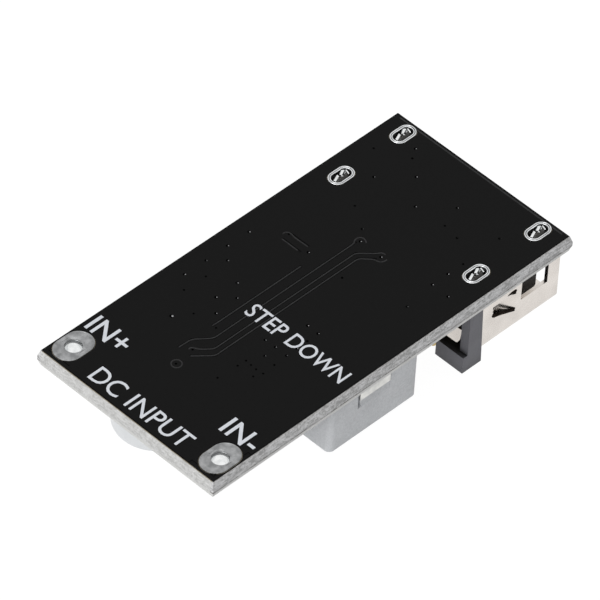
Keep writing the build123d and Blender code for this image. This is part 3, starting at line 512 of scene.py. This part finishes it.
# vias: drilled, plated and covered with mask, which sags into the hole and lets a speck of tin through
def addVias():
    via = {"outer": 0.25, "lip": 0.09, "rise": 0.01, "dip": 0.03, "proud": 0.002}
    speck = {"radius": 0.062, "flat": 0.5, "down": 0.014}
    hollow = {"least": 0.06, "more": 0.065, "shift": 0.05, "up": 0.004}
    # place along the board, place across it, how much tin shows
    places = [
        (0.57, 6.87, 1.0), (-1.49, 6.9, 0.9), (-3.6, 6.88, 0.7), (-5.64, 6.91, 0.9), (-2.5, 5.87, 0.9),
        (-3.54, 3.87, 1.0), (-5.59, 3.87, 0.9), (-4.59, 2.83, 0.8), (-6.68, 2.76, 0.9), (-9.1, 4.62, 1.5),
        (2.18, 2.67, 0.9), (6.57, 1.78, 0.7), (5.61, 1.0, 0.9), (5.56, -1.04, 0.9), (2.15, -0.66, 0.5),
        (-2.88, -2.32, 0.9), (-2.89, -3.34, 0.9), (-3.94, -3.36, 0.6), (-5.99, -1.33, 0.8),
        (-5.95, -2.29, 0.8), (-4.97, -3.38, 0.8), (-5.97, -3.38, 0.7), (-7.08, -2.4, 0.7),
        (-4.69, 5.77, 0.3), (-6.72, 5.84, 0.35), (-7.82, 3.77, 0.3), (-7.2, -3.45, 0.35),
        (-9.09, -1.81, 0.3), (-8.33, -1.86, 0.3), (-8.37, -2.38, 0.3), (-8.4, -2.9, 0.3),
        (-8.33, -3.52, 0.3), (-9.02, -3.25, 0.3), (-10.9, -1.71, 0.3), (2.45, 4.85, 0.3),
        (15.02, 4.89, 0.9), (10.84, 4.87, 0.8), (13.04, 2.87, 0.9), (10.88, 0.83, 0.9), (12.95, -1.23, 0.8),
        (10.81, -3.29, 0.6), (12.94, -5.32, 0.6), (7.8, -5.33, 0.9), (6.27, -5.32, 0.9), (6.23, -6.86, 0.9),
        (3.46, -5.64, 0.7), (12.89, 6.9, 0.4), (14.18, 4.36, 0.4), (7.82, 3.73, 0.4), (9.28, -5.36, 0.4),
        (11.04, -1.88, 0.4), (-12.05, 1.15, 0.4), (-10.28, 1.35, 0.4), (-7.65, 1.75, 0.3),
    ]
    rings = bmesh.new()
    specks = bmesh.new()
    hollows = bmesh.new()
    for x, y, shown in places:
        # painted shade: a near-black disc, a little off centre, covers each via's dip
        spot = Matrix.Translation((x - hollow["shift"], y + hollow["shift"], maskTop + hollow["up"]))
        bmesh.ops.create_circle(hollows, cap_ends=True, segments=10,
                                radius=hollow["least"] + hollow["more"] * shown, matrix=spot)
        spot = Matrix.Translation((x, y, maskTop + via["proud"]))
        made = bmesh.ops.create_circle(rings, cap_ends=True, segments=14, radius=via["outer"], matrix=spot)
        face = made["verts"][0].link_faces[0]
        for depth in (via["rise"], -via["dip"]):
            rings.normal_update()
            up = math.copysign(1, face.normal.z)
            bmesh.ops.inset_region(rings, faces=[face], thickness=via["lip"], depth=up * depth)
        spot = (Matrix.Translation((x, y, maskTop - speck["down"]))
                @ Matrix.Diagonal((1, 1, speck["flat"], 1)))
        bmesh.ops.create_uvsphere(specks, u_segments=8, v_segments=6, radius=speck["radius"] * shown,
                                  matrix=spot)
    addPiece("tentedVias", rings, solderMask)
    addPiece("viaSpecks", specks, padTin)
    addPiece("viaShadeDiscs", hollows, viaShadeMask, smooth=False)


addVias()
print("vias covered")


# copper edges under the mask: low rounded ridges along the tracks, round their vias and along the far end
def addTracks():
    ridge = {"width": 0.12, "height": 0.045, "reach": 0.25, "down": 0.01, "ring": 0.76,
             "ringAt": (-12.07, 1.17)}
    lines = [
        [(-7.75, 2.12), (-7.3, 2.1), (0.85, 2.1)],
        [(-10.9, 2.2), (-9.7, 2.15), (-8.5, 1.2), (5.1, 1.2), (5.3, 1.38), (5.62, 1.45), (5.95, 1.25),
         (5.9, 0.85), (5.72, 0.62)],
        [(-10.55, 1.6), (-10.25, 1.65), (-10.0, 1.15), (-9.2, 0.45), (4.5, 0.45), (5.6, -0.6),
         (5.9, -0.75), (5.9, -1.1)],
        [(-10.9, 1.1), (-9.6, -0.05), (4.25, -0.05), (5.0, -0.8), (5.05, -1.2), (5.3, -1.45),
         (5.7, -1.45)],
        [(2.05, 5.2), (2.35, 5.22), (2.58, 4.95), (2.45, 4.45), (2.5, 3.1)],
        [(1.72, 4.95), (1.72, 3.3)],
        [(16.42, 7.95), (16.42, -7.95)],
    ]
    ridges = bmesh.new()
    level = maskTop - ridge["down"]
    for points in lines:
        drawBead(ridges, softPath(points, ridge["reach"], level), ridge["width"], ridge["height"])
    around = stadiumPath(ridge["ringAt"], ridge["ring"], ridge["ring"], level, 20)
    drawBead(ridges, around, ridge["width"], ridge["height"], closed=True)
    # the ridges wear the lighter mask, partly a painted highlight; along the far end it stands wholly for a
    # highlight on the mask's slope
    addPiece("copperEdges", ridges, thinMaskSheen)


# the mask's own edges
def addMaskEdges():
    # at the far end the mask slopes down where the copper stops short of the board's edge
    slope = {"inside": 0.35, "lap": 0.03, "proud": 0.002, "run": 0.24, "drop": 0.038}
    low, high = (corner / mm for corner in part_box("solder_mask_back"))
    ramp = bmesh.new()
    made = bmesh.ops.create_grid(ramp, x_segments=1, y_segments=1, size=1.0)["verts"]
    for vert in made:
        down = vert.co.x > 0
        out = slope["run"] if down else -slope["lap"]
        vert.co = (high.x - slope["inside"] + out,
                   math.copysign(high.y - slope["inside"] + out, vert.co.y),
                   maskTop - (slope["drop"] if down else -slope["proud"]))
    addPiece("maskSlope", ramp, solderMask, smooth=False)
    # on the other three sides the mask runs level to the edge
    strip = {"from": -14.3, "toEnd": 0.04, "side": 8.13, "wide": 0.4, "endIn": 0.23, "endWide": 0.38,
             "endLong": 11.9, "down": 0.02, "tall": 0.045, "bevel": 0.012}
    strips = bmesh.new()
    last = high.x - strip["toEnd"]
    along = last - strip["from"]
    for x, y, wide, deep in (
            (last - along / 2, strip["side"], along, strip["wide"]),
            (last - along / 2, -strip["side"], along, strip["wide"]),
            (low.x + strip["endIn"], 0, strip["endWide"], strip["endLong"])):
        pose = (Matrix.Translation((x, y, maskTop - strip["down"]))
                @ Matrix.Diagonal((wide, deep, strip["tall"], 1)))
        addBevelledBlock(strips, pose, strip["bevel"])
    addPiece("maskEdges", strips, solderMask, smooth=False)


addTracks()
addMaskEdges()
print("tracks raised and mask edged")


# tin on the input pads: a bead at the outline, a domed skin and a shiny sleeve down the wire hole
def addPadTin():
    pad = {
        "rim": 0.07, "rimTall": 0.03, "rimUp": 0.005, "hole": 0.65, "sleeve": 0.03, "turn": 0.1, "lip": 0.34,
        "foot": 0.05,
        # the skin from the outline inwards: how much shorter, how much narrower, how far up
        "outside": [(0.04, 0.04, 0.001), (0.24, 0.24, 0.018), (0.7, 0.6, 0.03)],
        # halfway to the hole: how much smaller, how far up
        "midway": (0.1, 0.027),
        # on to the hole: how much wider than it, how far up
        "inside": [(0.16, 0.015), (0.02, -0.03)],
    }
    skin = bmesh.new()
    rims = bmesh.new()
    sleeves = bmesh.new()
    for name in ("input_pad_positive", "input_pad_negative"):
        low, high = (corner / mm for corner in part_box(name))
        centre = ((low.x + high.x) / 2, (low.y + high.y) / 2)
        length = high.x - low.x
        width = high.y - low.y
        across = 2 * pad["hole"]
        bore = across - 2 * pad["sleeve"]
        loops = [stadiumPath(centre, length - shorter, width - narrower, padTop + up)
                 for shorter, narrower, up in pad["outside"]]
        smaller, up = pad["midway"]
        loops.append(stadiumPath(centre, (length + across) / 2 - smaller, (width + across) / 2 - smaller,
                                 padTop + up))
        loops += [stadiumPath(centre, across + wider, across + wider, padTop + up)
                  for wider, up in pad["inside"]]
        loops += [stadiumPath(centre, bore, bore, padTop - down) for down in (pad["turn"], pad["lip"])]
        skinLoops(skin, loops)
        around = stadiumPath(centre, length - pad["rim"], width - pad["rim"], padTop + pad["rimUp"])
        drawBead(rims, around, pad["rim"], pad["rimTall"], closed=True)
        skinLoops(sleeves, [
            stadiumPath(centre, bore, bore, padTop - pad["lip"]),
            stadiumPath(centre, bore, bore, low.z + pad["foot"]),
        ])
    addPiece("padTinSkin", skin, padTin)
    addPiece("padTinRims", rims, padTin)
    addPiece("holeSleeves", sleeves, sleeveTin)


addPadTin()
print("pads tinned")


# leg slots: a bead of tin on both outlines of each ring, burnt flux, and the folded ends of the twisted leg
def addLegSlots():
    slot = {"length": 1.75, "width": 0.95, "ring": 0.21, "bead": 0.095, "outerIn": 0.1, "outerUp": 0.005,
            "outerTall": 0.08, "innerOut": 0.05, "innerTall": 0.09}
    # the flux from the slot's wall to the top of its mound: length, width, how far down
    flux = [(1.73, 0.93, 0.38), (1.35, 0.65, 0.38), (1.2, 0.6, 0.13), (0.6, 0.1, 0.11)]
    leg = {"down": 0.14, "bevel": 0.03}
    # along, across and up from the slot's middle, the three sizes, then the turn and two leans in degrees
    ears = [
        (-0.48, 0.08, 0.02, 0.66, 0.2, 0.3, 22, 30, 4),
        (0.3, 0.2, 0.0, 0.46, 0.3, 0.26, 12, -28, -16),
        (0.12, 0.02, -0.06, 0.2, 0.24, 0.2, 50, 24, 20),
        # the last is no leg end: a sliver of mirror tin at the slot's far end, put there as a painted
        # highlight on the slot's wall
        (0.7, 0.06, -0.02, 0.1, 0.42, 0.16, -12, 8, -30),
    ]
    low, high = (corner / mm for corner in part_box("leg_slot_plating"))
    inX = slot["length"] / 2 + slot["ring"]
    inY = slot["width"] / 2 + slot["ring"]
    outerOut = 2 * slot["ring"] - slot["outerIn"]
    outer = (slot["length"] + outerOut, slot["width"] + outerOut)
    inner = (slot["length"] + slot["innerOut"], slot["width"] + slot["innerOut"])
    beads = bmesh.new()
    pools = bmesh.new()
    tips = bmesh.new()
    for x in (low.x + inX, high.x - inX):
        for y in (low.y + inY, high.y - inY):
            drawBead(beads, stadiumPath((x, y), *outer, padTop + slot["outerUp"]), slot["bead"],
                     slot["outerTall"], closed=True)
            drawBead(beads, stadiumPath((x, y), *inner, padTop), slot["bead"],
                     slot["innerTall"], closed=True)
            skinLoops(pools, [stadiumPath((x, y), length, width, padTop - down)
                              for length, width, down in flux])
            for dx, dy, dz, along, across, tall, turn, lean, tip in ears:
                pose = (Matrix.Translation((x + dx, y + dy, padTop - leg["down"] + dz))
                        @ Matrix.Rotation(math.radians(turn), 4, "Z")
                        @ Matrix.Rotation(math.radians(lean), 4, "X")
                        @ Matrix.Rotation(math.radians(tip), 4, "Y")
                        @ Matrix.Diagonal((along, across, tall, 1)))
                addBevelledBlock(tips, pose, leg["bevel"])
    addPiece("slotBeads", beads, brightTin)
    addPiece("slotFlux", pools, fluxResidue)
    addPiece("legEars", tips, sleeveTin, smooth=False)


addLegSlots()
print("leg slots soldered")


# lower lip of the socket's rear flap, bent out a little as the stamping tool leaves it
def addFlapLip():
    lip = {"half": 6.28, "low": 2.78, "high": 4.0, "corner": 0.4, "out": 0.26, "proud": 0.02, "gauge": 0.1}
    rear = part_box("socket_shell")[0].x / mm - lip["proud"]
    form = bmesh.new()
    made = bmesh.ops.create_grid(form, x_segments=80, y_segments=12, size=1.0)["verts"]
    for vert in made:
        y = vert.co.x * lip["half"]
        past = max(0.0, abs(y) - (lip["half"] - lip["corner"]))
        low = lip["low"] + lip["corner"] - math.sqrt(max(0.0, lip["corner"] ** 2 - past ** 2))
        z = low + (lip["high"] - low) * (vert.co.y + 1) / 2
        bend = (lip["high"] - z) / (lip["high"] - lip["low"])
        vert.co = (rear - lip["out"] * bend, y, z)
    bmesh.ops.solidify(form, geom=list(form.faces), thickness=-lip["gauge"])
    addPiece("flapLip", form, nickelSheet)


addFlapLip()
print("flap lip bent")


# painted shade: the side springs' slits with their round ends, as thin dark inlays on the shell's side walls
# for the shade behind them
def addSlitShadeInlays():
    wall = {"out": 6.57, "gap": 0.008, "gauge": 0.012}
    # outlines, along and up
    slits = [
        [(11.36, 3.99), (11.29, 3.82), (11.36, 3.66), (11.52, 3.54), (11.91, 3.43), (12.3, 3.33),
         (12.95, 3.1), (13.51, 2.89), (13.66, 2.88), (13.74, 2.98), (13.7, 3.09), (13.0, 3.37),
         (12.3, 3.65), (11.8, 3.84)],
        [(12.79, 4.78), (12.95, 4.87), (13.17, 4.94), (13.4, 4.96), (13.6, 4.94), (13.72, 4.86),
         (13.76, 4.72), (13.68, 4.63), (13.45, 4.65), (13.2, 4.7), (12.95, 4.74)],
        [(11.32, 4.2), (11.44, 4.3), (11.58, 4.35), (11.66, 4.27), (11.6, 4.19), (11.46, 4.16)],
    ]
    form = bmesh.new()
    for side in (-1, 1):
        for outline in slits:
            made = bmesh.ops.create_circle(form, cap_ends=True, segments=len(outline), radius=1.0)["verts"]
            for vert, (x, z) in zip(made, outline):
                vert.co = (x, side * (wall["out"] + wall["gap"] - wall["gauge"]), z)
            grown = bmesh.ops.extrude_face_region(form, geom=made[0].link_faces[:])["geom"]
            moved = [item for item in grown if isinstance(item, bmesh.types.BMVert)]
            bmesh.ops.translate(form, vec=(0, side * wall["gauge"], 0), verts=moved)
    addPiece("paintedSlitShade", form, paintedSocketShade, smooth=False)


addSlitShadeInlays()
print("spring slits opened")


# capacitor cans: spun from their outline, with a groove by the base and a dark half-moon on the closed end
def addCans():
    can = {"radius": 3.15, "round": 0.4, "groove": 0.22, "grooveWide": 0.42, "grooveUp": 1.3, "eye": 0.001,
           "dish": 0.05, "dishRadius": 2.55, "rimRadius": 2.66}
    moon = {"radius": 2.45, "from": 1.25, "below": 0.012, "gauge": 0.01}
    for name in ("input", "output"):
        low, high = (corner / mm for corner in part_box(name + "_capacitor_can"))
        middle = Vector(((low.x + high.x) / 2, (low.y + high.y) / 2, 0))
        grooveLevel = high.z - can["grooveUp"]
        dishLevel = low.z + can["dish"]
        outline = [(can["eye"], dishLevel), (can["dishRadius"], dishLevel), (can["rimRadius"], low.z)]
        for step in range(7):
            angle = step * math.pi / 12
            outline.append((can["radius"] - can["round"] + can["round"] * math.sin(angle),
                            low.z + can["round"] * (1 - math.cos(angle))))
        for step in range(13):
            share = step / 6 - 1
            outline.append((can["radius"] - can["groove"] * (1 + math.cos(share * math.pi)) / 2,
                            grooveLevel + share * can["grooveWide"]))
        outline.append((can["radius"], high.z))
        form = bmesh.new()
        chain = [bmesh.ops.create_vert(form, co=middle + Vector((r, 0, z)))["vert"][0] for r, z in outline]
        edges = []
        for start, end in zip(chain, chain[1:]):
            edges += bmesh.ops.contextual_create(form, geom=[start, end])["edges"]
        bmesh.ops.spin(form, geom=chain + edges, cent=middle, axis=(0, 0, 1), angle=2 * math.pi, steps=96,
                       use_merge=True)
        shell = addPiece(name + "Can", form, canAluminium)
        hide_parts(name + "_capacitor_can")
        mark = bmesh.new()
        spot = Matrix.Translation((middle.x, middle.y, dishLevel - moon["below"]))
        bmesh.ops.create_circle(mark, cap_ends=True, segments=64, radius=moon["radius"], matrix=spot)
        everything = list(mark.verts) + list(mark.edges) + list(mark.faces)
        bmesh.ops.bisect_plane(mark, geom=everything, plane_co=(middle.x + moon["from"], 0, 0),
                               plane_no=(1, 0, 0), clear_inner=True)
        grown = bmesh.ops.extrude_face_region(mark, geom=list(mark.faces))["geom"]
        moved = [item for item in grown if isinstance(item, bmesh.types.BMVert)]
        bmesh.ops.translate(mark, vec=(0, 0, moon["gauge"]), verts=moved)
        addPiece(name + "CanMoon", mark, resistorGlaze, smooth=False)


addCans()
print("cans spun")


# share of a ray that comes from the eye, a mirror or glass, where the backdrop shows white
def addShownShare(tree):
    path = addNode(tree, "ShaderNodeLightPath")
    seen = addNode(tree, "ShaderNodeMath", {"operation": "MAXIMUM"},
                   {0: path.outputs["Is Camera Ray"], 1: path.outputs["Is Glossy Ray"]})
    return addNode(tree, "ShaderNodeMath", {"operation": "MAXIMUM"},
                   {0: seen.outputs[0], 1: path.outputs["Is Transmission Ray"]})


# soft light from all round
def setSky():
    light = {"sky": 0.44}
    world = bpy.data.worlds.new("paleStudio")
    bpy.context.scene.world = world
    world.use_nodes = True
    tree = world.node_tree
    tree.nodes.clear()
    shown = addShownShare(tree)
    strength = addNode(tree, "ShaderNodeMapRange", {"To Min": light["sky"], "To Max": 1.0},
                       {"Value": shown.outputs[0]})
    sky = addNode(tree, "ShaderNodeBackground", {"Color": (1, 1, 1, 1)},
                  {"Strength": strength.outputs["Result"]})
    addNode(tree, "ShaderNodeOutputWorld", None, {"Surface": sky.outputs["Background"]})


# floor: pale paper that keeps the object's shadow and shows white to the eye
def addFloor():
    sheet = {"paper": "#eeeeee", "underGlow": "#5a5a5a", "glow": 0.97, "half": 1.5, "down": 0.01}
    floorForm = bmesh.new()
    bmesh.ops.create_grid(floorForm, x_segments=1, y_segments=1, size=sheet["half"],
                          matrix=Matrix.Translation((0, 0, -sheet["down"] * mm)))
    floorMesh = bpy.data.meshes.new("paleFloor")
    floorForm.to_mesh(floorMesh)
    floorForm.free()
    floor = bpy.data.objects.new("paleFloor", floorMesh)
    bpy.context.scene.collection.objects.link(floor)
    material = bpy.data.materials.new("palePaper")
    material.use_nodes = True
    tree = material.node_tree
    tree.nodes.clear()
    shown = addShownShare(tree)
    paper = addNode(tree, "ShaderNodeBsdfDiffuse", {"Color": linearColour(sheet["paper"])})
    thin = addNode(tree, "ShaderNodeBsdfDiffuse", {"Color": linearColour(sheet["underGlow"])})
    glow = addNode(tree, "ShaderNodeEmission", {"Color": (1, 1, 1, 1), "Strength": sheet["glow"]})
    lifted = addNode(tree, "ShaderNodeAddShader", None, {0: thin.outputs[0], 1: glow.outputs[0]})
    both = addNode(tree, "ShaderNodeMixShader", None,
                   {0: shown.outputs[0], 1: paper.outputs[0], 2: lifted.outputs[0]})
    # from below the paper is clear, so the hidden side can be looked at
    under = addNode(tree, "ShaderNodeNewGeometry")
    clear = addNode(tree, "ShaderNodeBsdfTransparent")
    oneSided = addNode(tree, "ShaderNodeMixShader", None,
                       {0: under.outputs["Backfacing"], 1: both.outputs[0], 2: clear.outputs[0]})
    addNode(tree, "ShaderNodeOutputMaterial", None, {"Surface": oneSided.outputs[0]})
    floorMesh.materials.append(material)


# a wide soft lamp on the input side and a weaker one above
def addLamps():
    lamps = {
        "keyLamp": {"place": (-0.36, -0.05, 0.16), "power": 0.83, "size": 0.3},
        "topLamp": {"place": (-0.06, -0.04, 0.4), "power": 0.3, "size": 0.3},
    }
    for name, lamp in lamps.items():
        data = bpy.data.lights.new(name, "AREA")
        data.energy = lamp["power"]
        data.size = lamp["size"]
        made = bpy.data.objects.new(name, data)
        made.location = lamp["place"]
        made.rotation_mode = "QUATERNION"
        made.rotation_quaternion = Vector(lamp["place"]).to_track_quat("Z", "Y")
        bpy.context.scene.collection.objects.link(made)


# the camera stands where the photograph was taken, with a long lens
def setCamera():
    view = {"place": (-0.254636, -0.232241, 0.354801),
            "turn": (0.857498, 0.344076, -0.164424, -0.345359),
            "lens": 426.0, "sensor": 36.0, "near": 0.01, "far": 10.0}
    data = bpy.data.cameras.new("productCamera")
    data.lens = view["lens"]
    data.sensor_width = view["sensor"]
    data.clip_start = view["near"]
    data.clip_end = view["far"]
    camera = bpy.data.objects.new("productCamera", data)
    camera.location = view["place"]
    camera.rotation_mode = "QUATERNION"
    camera.rotation_quaternion = Quaternion(view["turn"])
    bpy.context.scene.collection.objects.link(camera)
    bpy.context.scene.camera = camera
    bpy.context.scene.view_settings.view_transform = "Standard"


setSky()
addFloor()
addLamps()
setCamera()
print("stage and camera set")
